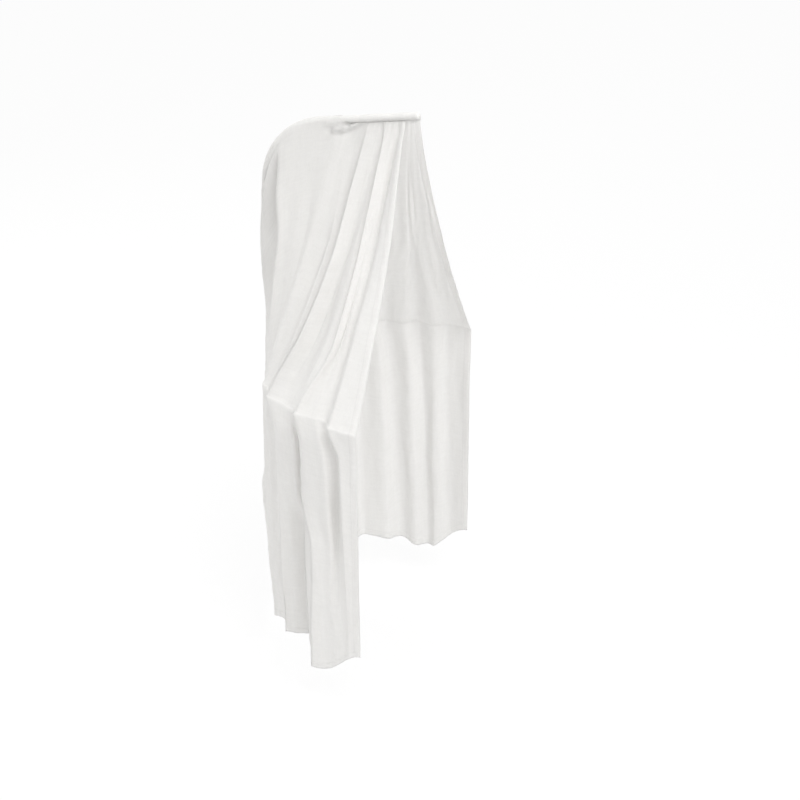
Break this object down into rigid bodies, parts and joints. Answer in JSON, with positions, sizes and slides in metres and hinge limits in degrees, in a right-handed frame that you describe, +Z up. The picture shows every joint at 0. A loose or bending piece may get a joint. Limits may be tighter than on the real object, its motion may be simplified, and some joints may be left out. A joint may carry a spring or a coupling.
{
  "type": "clamp-on canopy with a bent rod",
  "caption": "Sheer draped canopy hung from a bent rod that slides and turns in a tube clamped on a rail.",
  "frame": {"origin": "centre of the fixed jaw pad's face, where the clamp bears on the outside of a rail", "axes": "+Z up along the mast, +X from the mast over the rail and along the arm, +Y to the canopy's far side"},
  "size_m": [0.4651, 0.6788, 1.5116],
  "materials": {
    "cotton_voile": "sheer off-white cotton voile",
    "white_steel": "white powder coat on steel",
    "white_plastic": "off-white moulded plastic",
    "nylon": "natural nylon",
    "grey_rubber": "soft grey rubber",
    "zinc_screws": "bright zinc-plated steel",
    "brass": "turned brass"
  },
  "bodies": {
    "stand": {"lower_tube": "white_steel", "foot_cap": "white_plastic", "collar": "white_plastic", "collar_screw": "zinc_screws", "clamp_body": "white_steel", "tube_saddle": "white_steel", "saddle_screw_1": "zinc_screws", "saddle_screw_2": "zinc_screws", "saddle_screw_3": "zinc_screws", "saddle_screw_4": "zinc_screws", "saddle_nut_1": "zinc_screws", "saddle_nut_2": "zinc_screws", "saddle_nut_3": "zinc_screws", "saddle_nut_4": "zinc_screws", "fixed_jaw_pad": "grey_rubber", "rail_top_pad": "grey_rubber", "clamp_nut": "brass", "rest_ring": "white_plastic", "rest_bumper": "grey_rubber", "rest_screw": "zinc_screws", "rest_nut": "zinc_screws"},
    "jaw": {"moving_jaw": "white_steel", "moving_jaw_pad": "grey_rubber"},
    "clamp_spindle": {"clamp_screw": "zinc_screws", "clamp_knob": "white_plastic"},
    "lock_shoe": {"lock_pad": "brass"},
    "lock_spindle": {"lock_screw": "zinc_screws", "lock_knob": "white_plastic"},
    "bush": {"collar_bush": "nylon"},
    "canopy": {"upper_tube": "white_steel", "arm_end_cap": "white_plastic", "glide_plug": "nylon", "rod_pocket": "cotton_voile", "drape_near_panel": "cotton_voile", "drape_far_panel": "cotton_voile"}
  },
  "joints": [
    {"name": "jaw_travel", "type": "slide", "parent": "stand", "child": "jaw", "axis": [1, 0, 0], "range_m": [-0.014, 0.012]},
    {"name": "clamp_turn", "type": "hinge", "parent": "jaw", "child": "clamp_spindle", "pos_m": [0.07, 0, 0], "axis": [1, 0, 0], "range_deg": [-2520, 2160]},
    {"name": "lock_travel", "type": "slide", "parent": "stand", "child": "lock_shoe", "axis": [1, 0, 0], "range_m": [0, 0.003]},
    {"name": "lock_turn", "type": "hinge", "parent": "lock_shoe", "child": "lock_spindle", "pos_m": [-0.002, 0, 0.286], "axis": [1, 0, 0], "range_deg": [0, 1080]},
    {"name": "mast_swivel", "type": "hinge", "parent": "stand", "child": "bush", "pos_m": [-0.026, 0, 0.286], "axis": [0, 0, 1], "range_deg": [-25, 25]},
    {"name": "mast_height", "type": "slide", "parent": "bush", "child": "canopy", "axis": [0, 0, 1], "range_m": [-0.04, 0.1]}
  ],
  "couplings": [
    {"joint": "clamp_turn", "follows": "jaw_travel", "rad_per_m": 3141.6},
    {"joint": "lock_turn", "follows": "lock_travel", "rad_per_m": 6283.2}
  ]
}
